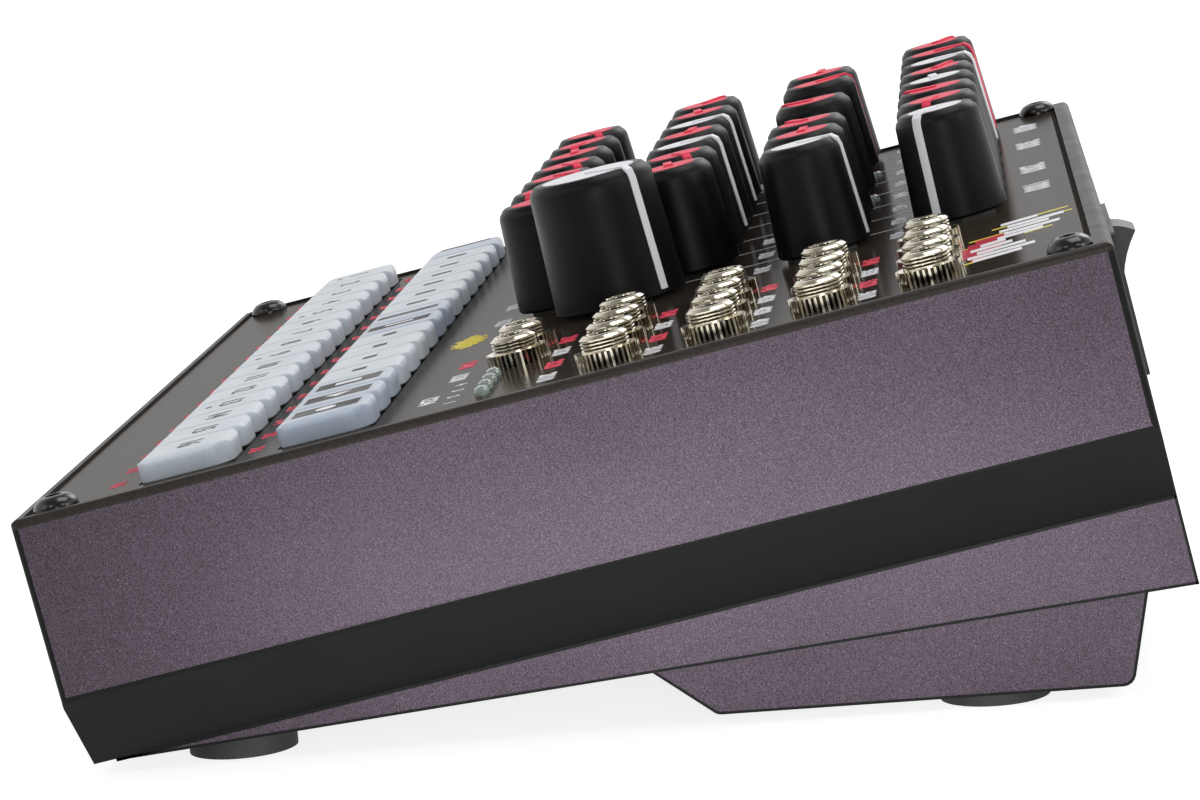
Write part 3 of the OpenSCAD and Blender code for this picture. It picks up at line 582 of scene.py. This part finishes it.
def case_paint(name, limit):
    """Speckled paint; the bevels and rounded edges are painted dark as shade, and the rim's
    brushed metal runs from the strip upwards.

    Faces are painted whose normal's greatest part in the case frame is over the limit.
    """
    made, tree, shader = finish(name, Specular_IOR_Level=0.12, Coat_Roughness=0.2)
    place = use(tree, case_place())[0]
    paint = use(tree, speckle(), Vector=place, Dark=tint("paint"), Light=tint("speck"), Glint=0.4)
    # painted shade: the bevels and rounded edges, which face away from the light, get a smooth
    # dark colour
    painted_edge_shade = use(tree, grain(), Vector=place, Colour=tint("edge"), Scale=2.5, Tone=0.06, Smooth=0.4,
               Rough=0.5)
    drawn = node(tree, "Mapping", {"Vector": place, "Scale": (0.12, 1, 1)}).outputs[0]
    brushed = use(tree, grain(), Vector=drawn, Colour=tint("rim"), Scale=3.5, Tone=0.35,
                  Smooth=0.38, Rough=0.5)
    painted = use(tree, case_facing(), Limit=limit)["Square"]
    tall = node(tree, "SeparateXYZ", {0: place}).outputs[2]
    above = calc(tree, "GREATER_THAN", tall, -sizes().strip / MM)
    painted = calc(tree, "MULTIPLY", painted, calc(tree, "SUBTRACT", 1, above))
    edge_shade_and_rim = mix(tree, above, painted_edge_shade["Colour"], brushed["Colour"])
    tree.links.new(mix(tree, painted, edge_shade_and_rim, paint["Colour"]), shader.inputs["Base Color"])
    tree.links.new(spread(tree, painted, 0, 1, painted_edge_shade["Roughness"],
                          spread(tree, paint["Height"], 0.3, 0.7, 0.36, 0.5)),
                   shader.inputs["Roughness"])
    tree.links.new(spread(tree, painted, 0, 1, 0, 0.35), shader.inputs["Metallic"])
    tree.links.new(spread(tree, above, 0, 1, 0, 0.1), shader.inputs["Coat Weight"])
    bump(tree, shader, calc(tree, "MULTIPLY", paint["Height"], painted), 0.02, 0.3)
    return made


def nickel(name, dark_from, bright_from, bore):
    """Bright plating, with painted shade down in the flutes and threads from one distance from a
    socket's axis to another; faces that point up are painted bright as lit, and the bore is
    painted near black as shade.
    """
    made, tree, shader = finish(name, Metallic=1)
    place = use(tree, case_place())[0]
    worn = use(tree, grain(), Vector=place, Colour=tint("nickel"), Scale=1.5, Tone=0.12,
               Smooth=0.1, Rough=0.22)
    radius = use(tree, socket_radius(), Vector=place)[0]
    up = use(tree, case_facing())["Up"]
    # painted light and shade: faces that point up stay bright, and the plating darkens towards the
    # axis in the flutes and threads
    painted_lit_share = calc(tree, "MAXIMUM", up, spread(tree, radius, dark_from / MM, bright_from / MM))
    inside = calc(tree, "GREATER_THAN", radius, bore / MM)
    shade = mix(tree, painted_lit_share, tint("groove_shade"), worn["Colour"])
    # painted shade: the bore is painted near black
    shade = mix(tree, inside, (0.01, 0.01, 0.009, 1), shade)
    tree.links.new(shade, shader.inputs["Base Color"])
    tree.links.new(worn["Roughness"], shader.inputs["Roughness"])
    bump(tree, shader, worn["Height"], 0.004)
    return made


def milky(name, grey_span=None):
    """Milky plastic of the keys, greyer between the two places of a span across the panel."""
    made, tree, shader = finish(name, Subsurface_Weight=0.85, Subsurface_Scale=3.4 * MM,
                                Subsurface_Radius=(1, 1, 1.1), Specular_IOR_Level=0.35)
    place = use(tree, case_place())[0]
    shade = tint("key")
    if grey_span:
        across = node(tree, "SeparateXYZ", {0: place}).outputs[0]
        grey = calc(tree, "MULTIPLY", calc(tree, "GREATER_THAN", across, grey_span[0]),
                    calc(tree, "LESS_THAN", across, grey_span[1]))
        shade = mix(tree, grey, shade, tint("grey_key"))
    worn = use(tree, grain(), Vector=place, Colour=shade, Scale=1.5, Tone=0.025, Smooth=0.3,
               Rough=0.4)
    # painted shade: what lies below the panel's face is painted near black, as if it got no light
    painted_shade_below = spread(tree, node(tree, "SeparateXYZ", {0: place}).outputs[2], -0.05, 0.1)
    tree.links.new(mix(tree, painted_shade_below, (0.012, 0.012, 0.012, 1), worn["Colour"]),
                   shader.inputs["Base Color"])
    tree.links.new(worn["Roughness"], shader.inputs["Roughness"])
    bump(tree, shader, worn["Height"], 0.003)
    return made


def ink(name, shade):
    """Printing ink, a little uneven, which is made once and shared."""
    made = bpy.data.materials.get(name)
    return made or grained(name, tint(shade), 6, 0.08, 0.35, 0.55, 0.004,
                           Specular_IOR_Level=0.1)[0]


# ---------- operators ----------

class DRUM_OT_case(bpy.types.Operator):
    """Paints the shell and the base, and finishes the feet and screws"""
    bl_idname = "drum.case"
    bl_label = "Case"

    def execute(self, context):
        dress("top_shell", case_paint("case_paint", SHELL_SQUARE))
        dress("base_tray", case_paint("base_paint", BASE_SQUARE))
        # painted shade: the dark colour of the lines along the edges of the base's side faces
        painted_edge_shade = grained("painted_shade_edge", tint("edge"), 2.5, 0.06, 0.4, 0.5, 0.004,
                       Specular_IOR_Level=0.1)[0]
        lines = shade_lines("base_tray", sizes().shade_line, sizes().ink, BASE_SIDES)
        piece("shade_lines_base", lines, "case", painted_edge_shade)
        rubber = grained("foot_rubber", (0.022, 0.021, 0.022, 1), 3, 0.15, 0.7, 0.85, 0.02)[0]
        dress("feet", rubber)
        screw = grained("screw_black", (0.005, 0.005, 0.005, 1), 5, 0.1, 0.16, 0.24, 0.002,
                        Specular_IOR_Level=0.5)[0]
        dress("screws", screw)
        soften("screws")
        return {"FINISHED"}


class DRUM_OT_panel(bpy.types.Operator):
    """Gives the panel its gloss"""
    bl_idname = "drum.panel"
    bl_label = "Panel"

    def execute(self, context):
        made, tree, shader = grained("panel_gloss", tint("panel"), 1.5, 0.1, 0.4, 0.5, 0.001,
                                     Specular_IOR_Level=0, Coat_Roughness=0.15,
                                     Sheen_Weight=0.07, Sheen_Roughness=0.3,
                                     Sheen_Tint=(1, 0.72, 0.5, 1))
        # painted shade: a dull line without lacquer in front of the rear rim stands for the shade
        # in the gap there
        rear = case_box("front_panel")[1].y / MM - 0.6
        deep = node(tree, "SeparateXYZ", {0: use(tree, case_place())[0]}).outputs[1]
        tree.links.new(spread(tree, deep, rear, rear + 0.05, 0.34, 0.03),
                       shader.inputs["Coat Weight"])
        dress("front_panel", made)
        return {"FINISHED"}


class DRUM_OT_prints(bpy.types.Operator):
    """Prints the numbers and lines on the panel"""
    bl_idname = "drum.prints"
    bl_label = "Panel prints"

    def execute(self, context):
        thick = sizes().ink
        label = sizes().label
        white, red, lines = bmesh.new(), bmesh.new(), bmesh.new()

        def mark(bm, text, x, y, height=label):
            """Prints a number."""
            numerals(bm, text, height, x, y, thick, BOLD)

        # numbers of the small knobs, the row and then the place in it
        for name in KNOBS:
            x, y = axis_of(name)
            mark(white, "%d0%s0" % ("abcd".index(name[5]) + 1, name[6]), x, y + KNOB_NUMBER)
        # lines between the columns of knobs
        columns = sorted({round(axis_of(name)[0], 5) for name in KNOBS}, reverse=True)
        for near, far in zip(columns, columns[1:]):
            middle = (near + far) / 2
            block(lines, (middle - LINE_HALF, LINE_FROM, 0), (middle + LINE_HALF, LINE_TO, thick))
        # numbers of the sockets, the row and then the place in it
        low, high = case_box("jack_nuts")
        radius = sizes().nut_width / 2
        across = (high.x - low.x - 2 * radius) / (SOCKET_COLUMNS - 1)
        deep = (high.y - low.y - 2 * radius) / (SOCKET_ROWS - 1)
        for row in range(SOCKET_ROWS):
            for column in range(FIRST_ROW_FROM if row == 0 else 0, SOCKET_COLUMNS):
                x = high.x - radius - column * across
                y = low.y + radius + row * deep + SOCKET_NUMBER
                reds = (3,) if row == 3 else (1, 3)
                mark(red if column in reds else white, "%d0%d0" % (row + 1, column + 1), x, y)
        # numbers of the lamps in the group
        low, high = case_box("lamps")
        for i in range(4):
            x = high.x - sizes().lamp_width / 2 - i * sizes().lamp_pitch
            mark(white, str(i + 1), x, low.y + LAMP_NUMBER, label * 0.7)
        mark(white, "1234", high.x - 1.5 * sizes().lamp_pitch, low.y + LAMP_GROUP_NUMBER)
        # numbers in front of the keys
        for i, name in enumerate(STEP_KEYS):
            low, high = case_box(name)
            x, y = (low.x + high.x) / 2, (low.y + high.y) / 2
            mark(red, "%d" % (i + 101), x, y + KEY_NUMBER_FRONT, label * 0.85)
            mark(red, "%d" % (i + 201), x, y + KEY_NUMBER_REAR, label * 0.85)
        # numbers along the rear edge
        for i, x in enumerate(REAR_NUMBERS_ACROSS):
            mark(white, "%d000" % (i + 1), x * MM, REAR_NUMBERS_UP * MM, label * 1.6)
        white_ink, red_ink = ink("white_ink", "white"), ink("red_ink", "red")
        piece("print_numbers_white", white, "case", white_ink)
        piece("print_numbers_red", red, "case", red_ink)
        piece("print_lines", lines, "case", white_ink)
        return {"FINISHED"}


class DRUM_OT_motifs(bpy.types.Operator):
    """Prints the plain coloured stripes at the rear and the small bars by the dial"""
    bl_idname = "drum.motifs"
    bl_label = "Printed stripes"

    # ends of the stripes up the panel, in millimetres
    whites = ((118.3, 124.4), (117.7, 126.1), (118.9, 125), (118.1, 123.4), (119.4, 122.6),
              (121.6, 127.4), (122.5, 129.6), (121.9, 128.3), (123, 130.3), (122.2, 127))
    crimsons = ((118, 120), (116.4, 121), (117.2, 122), (116.6, 122.6), (117.8, 122.4),
                (118.8, 123.2))
    # place across and ends of each yellow stripe
    yellows = ((78.4, 117.2, 121.4), (72, 115.6, 118), (64.6, 115.8, 118.4), (57.4, 118, 123),
               (50.2, 121, 131.4), (46, 124.4, 131), (61.6, 125, 128.6))
    # lengths of the small bars
    bars = (1.6, 3, 4.6, 3.8, 5, 3.4, 4.4, 2.2, 1.2)

    def execute(self, context):
        thick = sizes().ink
        colours = {name: bmesh.new() for name in ("white", "crimson", "yellow")}

        def slanted(shade, x0, x1, y0, y1, lean, low, high):
            """Adds a leaning stripe of one colour."""
            outline = [(x0, y0), (x1, y0), (x1 - lean, y1), (x0 - lean, y1)]
            prism(colours[shade], [(x * MM, y * MM) for x, y in outline], low, high)

        # two sheaves of parallel stripes of uneven length, behind the sockets
        for i, (start, end) in enumerate(self.whites):
            x = 76.6 - i * 3.3
            slanted("white", x, x + 2.5, start, end, 1.2, thick * 0.6, thick)
        for i, (start, end) in enumerate(self.crimsons):
            x = 74.6 - i * 3.3
            slanted("crimson", x, x + 3.35, start, end, 1.2, thick * 0.3, thick * 0.6)
        for x, start, end in self.yellows:
            slanted("yellow", x, x + 1, start, end, 1.2, 0, thick * 0.3)
        # small bars of uneven length beside the first sockets
        for i, tall in enumerate(self.bars):
            x = 30.5 - i * 1.3
            slanted("yellow", x, x + 0.9, 50 - tall / 2, 50 + tall / 2, 0.6, 0, thick)
        for shade, bm in colours.items():
            stripes = piece("stripes_" + shade, bm, "case", ink(shade + "_ink", shade))
        return {"FINISHED"}


class DRUM_OT_keys(bpy.types.Operator):
    """Finishes the keys"""
    bl_idname = "drum.keys"
    bl_label = "Keys"

    def execute(self, context):
        white = milky("key_white")
        for name in STEP_KEYS:
            dress(name, white)
        for name, span in GREY_SPANS.items():
            dress(name, milky("key_white_" + name.split("_")[0], span))
        return {"FINISHED"}


class DRUM_OT_key_marks(bpy.types.Operator):
    """Prints the numerals and signs on the keys"""
    bl_idname = "drum.key_marks"
    bl_label = "Key marks"

    def execute(self, context):
        thick = sizes().ink
        dark_ink = ink("dark_ink", "key_mark")
        centres = []
        for i, name in enumerate(STEP_KEYS):
            low, high = case_box(name)
            x, y = (low.x + high.x) / 2, (low.y + high.y) / 2
            centres.append(x)
            bm = bmesh.new()
            numerals(bm, str(i + 1), sizes().numeral, x, y + 0.2 * MM, thick)
            if i % 4 == 0:
                disc(bm, x, y - 2.7 * MM, 0.45 * MM, 0, thick, 16)
            drape(list(bm.verts), case_tree(name))
            piece("mark_" + name, bm, name, dark_ink)
        for name, numbers in UPPER_KEYS.items():
            low, high = case_box(name)
            y = (low.y + high.y) / 2
            tree = case_tree(name)
            dark, light = bmesh.new(), bmesh.new()
            for n in numbers:
                self.sign(dark, light, n, centres[n - 1], y, thick)
            drape(list(dark.verts), tree)
            piece("mark_" + name, dark, name, dark_ink)
            if light.verts:
                drape(list(light.verts), tree)
                sign = piece("sign_" + name, light, name, ink("white_ink", "white"))
        return {"FINISHED"}

    def bar(self, bm, x, y, wide, deep, low, high):
        """Adds a flat bar that can bend over the key."""
        wide, deep = wide * MM / 2, deep * MM / 2
        verts = block(bm, (x - wide, y - deep, low), (x + wide, y + deep, high))
        slice_across(bm, verts, y - deep, y + deep, 0.5 * MM)

    def sign(self, dark, light, n, x, y, thick):
        """The generic sign of one key of the second row."""
        if n >= 14:
            self.bar(dark, x, y + 0.1 * MM, 4.6, 8.3, 0, thick)
            low, high = thick, thick * 1.6
            if n == 14:
                self.bar(light, x, y, 2, 3.4, low, high)
            elif n == 15:
                outline = [(-1.1, -1.8), (1.2, 0), (-1.1, 1.8)]
                prism(light, [(x + u * MM, y + v * MM) for u, v in outline], low, high)
            else:
                disc(light, x, y, 1.3 * MM, low, high)
        elif n >= 10:
            self.bar(dark, x, y, 1.8, 1.9, 0, thick)
        elif n == 9:
            self.bar(dark, x, y, 3.8, 8.7, 0, thick)
            self.bar(light, x, y, 1.2, 4, thick, thick * 1.6)
        elif n == 8:
            self.bar(dark, x, y, 2.2, 8.7, 0, thick)
        elif n >= 2:
            self.bar(dark, x, y, 1.5, 3, 0, thick)
        else:
            self.bar(dark, x - 3.6 * MM, y, 1.4, 8, 0, thick)


class DRUM_OT_knobs(bpy.types.Operator):
    """Finishes the knobs and gives each its cap and pointer"""
    bl_idname = "drum.knobs"
    bl_label = "Knobs"

    def execute(self, context):
        black = grained("knob_black", tint("knob"), 7, 0.12, 0.34, 0.44, 0.008,
                        Specular_IOR_Level=0.18)[0]
        red = grained("cap_red", tint("red"), 8, 0.06, 0.4, 0.5, 0.006, Specular_IOR_Level=0.1)[0]
        white = grained("cap_white", tint("white"), 8, 0.04, 0.4, 0.5, 0.006,
                        Specular_IOR_Level=0.2)[0]
        for name in [*KNOBS, "main_dial"]:
            dress(name, black)
            soften(name)
            self.mark(name, white if name in WHITE_KNOBS else red)
        return {"FINISHED"}

    def mark(self, name, material):
        """Adds the cap and the pointer rib that runs from it to the knob's foot."""
        size = sizes()
        x, y = axis_of(name)
        tree = case_tree(name)
        top = case_box(name)[1].z
        sideways = Vector((-1, 0, 0))

        def radius(z):
            """The knob's radius at a height."""
            return tree.ray_cast(Vector((x + 30 * MM, y, z)), sideways)[0].x - x

        shoulder = radius(top - size.knob_bevel)
        flat = shoulder - size.knob_bevel_width
        foot = 1.5 * MM
        rise, side, sunk = size.pointer_rise, size.pointer_rise * 0.4, 0.3 * MM
        outline = [
            (0, top + rise), (flat, top + rise),
            (shoulder - size.knob_bevel_width * 0.3 + side, top - size.knob_bevel * 0.3 + side),
            (shoulder + side, top - size.knob_bevel), (radius(foot) + side, foot),
            (radius(foot) - sunk, foot), (shoulder - sunk, top - size.knob_bevel),
            (flat - sunk, top - sunk), (0, top - sunk)]
        bm = bmesh.new()
        face = bm.faces.new([bm.verts.new((-size.pointer_width / 2, r, z)) for r, z in outline])
        made = bmesh.ops.extrude_face_region(bm, geom=[face])["geom"]
        verts = [v for v in made if isinstance(v, bmesh.types.BMVert)]
        bmesh.ops.translate(bm, vec=(size.pointer_width, 0, 0), verts=verts)
        long_edges = [e for e in bm.edges if abs(e.verts[0].co.x - e.verts[1].co.x) < MM / 100
                      and self.outer(e, top)]
        bmesh.ops.bevel(bm, geom=long_edges, offset=0.08 * MM, offset_type="OFFSET", segments=2,
                        profile=0.5, affect="EDGES", material=-1)
        angle = math.radians(-KNOB_REACH - JOINTS[name]["range_deg"][0])
        bmesh.ops.rotate(bm, cent=(0, 0, 0), matrix=Matrix.Rotation(angle, 3, "Z"), verts=bm.verts)
        wide = size.dial_cap_width if name == "main_dial" else size.cap_width
        disc(bm, 0, 0, wide / 2, top - sunk, top + size.cap_rise, 64)
        bmesh.ops.translate(bm, vec=(x, y, 0), verts=bm.verts)
        piece("cap_" + name, bm, name, material, smooth=True)

    def outer(self, edge, top):
        """Whether an edge of the rib lies on its outer side and not behind the knob's axis."""
        ahead = min(v.co.y for v in edge.verts) + 0.001 * MM >= 0
        return ahead and all(v.co.z > top or v.co.y > RIB_FROM for v in edge.verts)


class DRUM_OT_sockets(bpy.types.Operator):
    """Plates the sockets and their nuts"""
    bl_idname = "drum.sockets"
    bl_label = "Sockets"

    def execute(self, context):
        size = sizes()
        nut, neck = size.nut_width / 2, size.neck_width / 2
        dress("patch_jacks", nickel("nickel_jacks", neck - size.thread_depth * 0.75,
                                    neck - size.thread_depth * 0.2,
                                    size.socket_width / 2 + 0.02 * MM))
        soften("patch_jacks")
        dress("jack_nuts", nickel("nickel_nuts", nut - size.flute_depth,
                                  nut - size.flute_depth * 0.3, 0))
        return {"FINISHED"}


class DRUM_OT_lamps(bpy.types.Operator):
    """Makes the lamps clear"""
    bl_idname = "drum.lamps"
    bl_label = "Lamps"

    def execute(self, context):
        clear = grained("lamp_clear", tint("lamp"), 2, 0.04, 0.02, 0.06, 0.002,
                        Transmission_Weight=0.7, IOR=1.5, Coat_Weight=1,
                        Coat_Roughness=0.02)[0]
        dress("lamps", clear)
        return {"FINISHED"}


class DRUM_OT_rear(bpy.types.Operator):
    """Finishes the rear plate and the rocker"""
    bl_idname = "drum.rear"
    bl_label = "Rear plate and rocker"

    def execute(self, context):
        dress("rear_plate", grained("rear_black", (0.014, 0.014, 0.014, 1), 5, 0.15, 0.4, 0.5,
                                    0.012)[0])
        dress("power_rocker", grained("rocker_black", (0.012, 0.012, 0.012, 1), 8, 0.12, 0.3, 0.4,
                                      0.006)[0])
        return {"FINISHED"}


class DRUM_OT_works(bpy.types.Operator):
    """Finishes the circuit board and the potentiometers"""
    bl_idname = "drum.works"
    bl_label = "Works"

    def execute(self, context):
        dress("circuit_board", grained("board", tint("board"), 1.2, 0.12, 0.3, 0.4, 0.01)[0])
        dress("potentiometers", grained("pot_metal", (0.1, 0.1, 0.095, 1), 4, 0.15, 0.35, 0.5,
                                        0.006, Metallic=1)[0])
        return {"FINISHED"}


class DRUM_OT_stage(bpy.types.Operator):
    """Sets the floor, the light and the camera"""
    bl_idname = "drum.stage"
    bl_label = "Stage"

    def execute(self, context):
        scene = context.scene
        scene.view_settings.view_transform = "Standard"
        self.floor(scene.drum_stage.floor_width)
        self.room(scene, scene.drum_stage.room_light, scene.drum_stage.room_shade)
        for name, place, wide, strength in SOFT_LAMPS:
            self.lamp(name, place, wide, strength)
        self.lamp("low_strip", *LOW_STRIP)
        view = bpy.data.cameras.new("camera")
        view.lens = scene.drum_stage.lens
        view.sensor_width = 36
        view.clip_start = 0.01
        camera = bpy.data.objects.new("camera", view)
        camera.location = scene.drum_stage.camera_place
        camera.rotation_euler = scene.drum_stage.camera_turn
        scene.collection.objects.link(camera)
        scene.camera = camera
        return {"FINISHED"}

    def floor(self, wide):
        """A round floor, pale and plain."""
        bm = bmesh.new()
        bmesh.ops.create_circle(bm, cap_ends=True, segments=64, radius=wide / 2)
        mesh = bpy.data.meshes.new("floor")
        bm.to_mesh(mesh)
        bm.free()
        made, tree, shader = finish("floor", Roughness=0.7)
        place = node(tree, "TexCoord").outputs["Object"]
        # the floor looks white to the eye and in reflections, and keeps a soft shadow
        path = node(tree, "LightPath").outputs
        seen = calc(tree, "MAXIMUM", path["Is Camera Ray"],
                    calc(tree, "MAXIMUM", path["Is Glossy Ray"], path["Is Transmission Ray"]))
        tone = spread(tree, noise(tree, place, 40, 2), 0.3, 0.7, 0.0, 0.02)
        plain = mix(tree, tone, tint("floor"), (0.7, 0.7, 0.7, 1))
        shaded = mix(tree, calc(tree, "MULTIPLY", seen, FLOOR_SHADE), plain, (0, 0, 0, 1))
        tree.links.new(shaded, shader.inputs["Base Color"])
        glow = node(tree, "Emission", {"Strength": calc(tree, "MULTIPLY", seen, FLOOR_GLOW)})
        both = node(tree, "AddShader", {0: shader.outputs[0], 1: glow.outputs[0]})
        tree.links.new(both.outputs[0], tree.nodes["Material Output"].inputs["Surface"])
        mesh.materials.append(made)
        floor = bpy.data.objects.new("floor", mesh)
        bpy.context.scene.collection.objects.link(floor)

    def room(self, scene, strength, shade):
        """A white room to the eye; in reflections its near side and its ceiling are darker."""
        world = bpy.data.worlds.new("room")
        world.use_nodes = True
        scene.world = world
        tree = world.node_tree
        toward = node(tree, "TexCoord").outputs["Generated"]
        toward = node(tree, "SeparateXYZ", {0: toward}).outputs
        dark = calc(tree, "MAXIMUM", spread(tree, toward[0], -0.1, 0.5),
                    spread(tree, toward[2], 0.5, 0.85))
        path = node(tree, "LightPath").outputs
        mirrored = calc(tree, "MAXIMUM", path["Is Glossy Ray"], path["Is Transmission Ray"])
        reflected = spread(tree, dark, 0, 1, 1, shade)
        light = spread(tree, mirrored, 0, 1, strength, reflected)
        tree.links.new(spread(tree, path["Is Camera Ray"], 0, 1, light, 1),
                       tree.nodes["Background"].inputs["Strength"])
        tree.nodes["Background"].inputs["Color"].default_value = (1, 1, 1, 1)

    def lamp(self, name, place, wide, strength, tall=None, target=(0, 0, 0)):
        """A soft lamp, unseen itself, that points at a target; strength is its brightness."""
        light = bpy.data.lights.new(name, "AREA")
        light.shape = "RECTANGLE"
        light.size, light.size_y = wide, tall or wide
        light.energy = strength * math.pi * light.size * light.size_y
        made = bpy.data.objects.new(name, light)
        made.visible_camera = False
        self.aim(made, place, target)

    def aim(self, made, place, target):
        """Puts a lamp at a place, turned to its target."""
        made.location = place
        made.rotation_euler = (Vector(place) - Vector(target)).to_track_quat("Z", "Y").to_euler()
        bpy.context.scene.collection.objects.link(made)


OPERATORS = (DRUM_OT_case, DRUM_OT_panel, DRUM_OT_prints, DRUM_OT_motifs, DRUM_OT_keys,
             DRUM_OT_key_marks, DRUM_OT_knobs, DRUM_OT_sockets, DRUM_OT_lamps, DRUM_OT_rear,
             DRUM_OT_works, DRUM_OT_stage)


class DRUM_PT_dressing(bpy.types.Panel):
    """Lists the pieces and their sizes and colours"""
    bl_idname = "DRUM_PT_dressing"
    bl_label = "Drum Machine"
    bl_space_type = "VIEW_3D"
    bl_region_type = "UI"
    bl_category = "Drum Machine"

    def draw(self, context):
        for operator in OPERATORS:
            self.layout.operator(operator.bl_idname)
        for group_name in ("drum_sizes", "drum_colours", "drum_stage"):
            values = getattr(context.scene, group_name)
            column = self.layout.column()
            for name in values.__annotations__:
                column.prop(values, name)


CLASSES = (DrumSizes, DrumColours, DrumStage, *OPERATORS, DRUM_PT_dressing)


def register():
    for item in CLASSES:
        bpy.utils.register_class(item)
    bpy.types.Scene.drum_sizes = PointerProperty(type=DrumSizes)
    bpy.types.Scene.drum_colours = PointerProperty(type=DrumColours)
    bpy.types.Scene.drum_stage = PointerProperty(type=DrumStage)


def unregister():
    for name in ("drum_stage", "drum_colours", "drum_sizes"):
        delattr(bpy.types.Scene, name)
    for item in reversed(CLASSES):
        bpy.utils.unregister_class(item)


def main():
    register()
    for operator in OPERATORS:
        getattr(bpy.ops.drum, operator.bl_idname.split(".")[1])()


if __name__ == "__main__":
    main()
